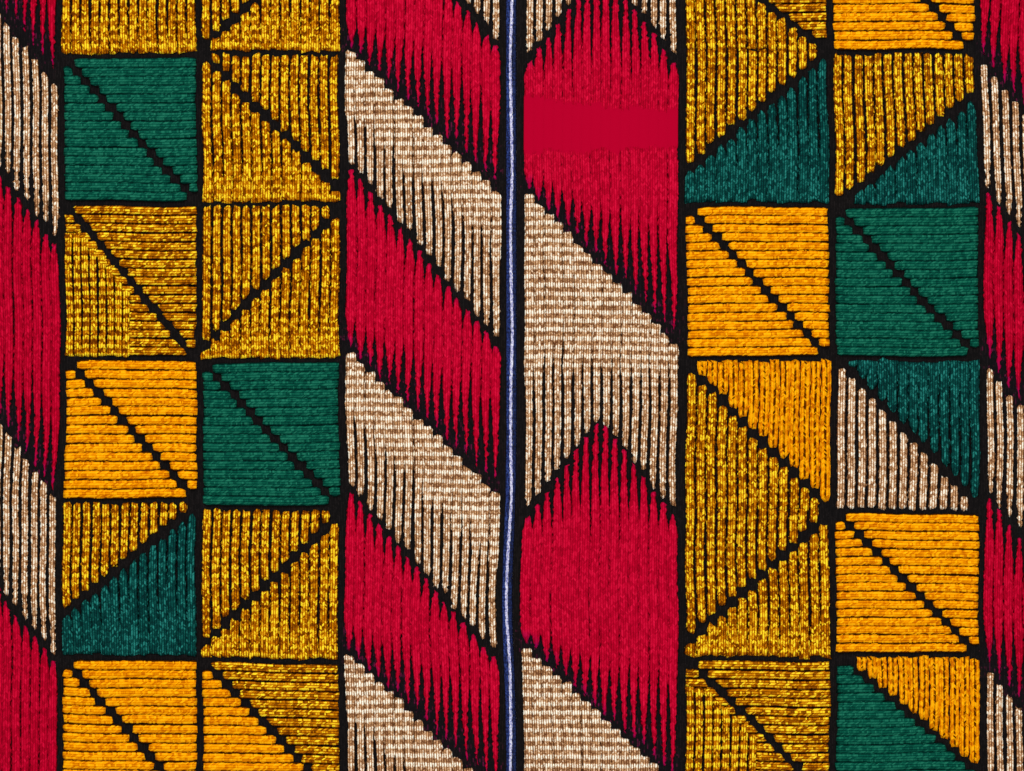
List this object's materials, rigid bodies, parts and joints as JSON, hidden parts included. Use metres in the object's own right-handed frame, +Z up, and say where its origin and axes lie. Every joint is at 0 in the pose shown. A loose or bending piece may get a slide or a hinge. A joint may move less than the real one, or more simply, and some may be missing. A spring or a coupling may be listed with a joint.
{
  "type": "kente cloth",
  "caption": "Flat cut length of hand-woven kente cloth: ribbed strips with blocks, diagonals and zigzag bands, sewn side by side along a pale yarn.",
  "frame": {"origin": "on the middle of the join between the two strips, halfway along the cut length, at the underside", "axes": "+X across the strips, +Y along the warp towards the top of the picture, +Z up from the face of the cloth"},
  "size_m": [0.208, 0.202, 0.0015],
  "materials": {
    "woven_cloth": "lustrous rayon floats in red, cream, gold, yellow, green and teal on a black rep ground",
    "joining_yarn": "soft twisted yarn, matt"
  },
  "bodies": {
    "root": {"strip_left": "woven_cloth", "strip_right": "woven_cloth", "joining_yarn": "joining_yarn"}
  },
  "joints": []
}
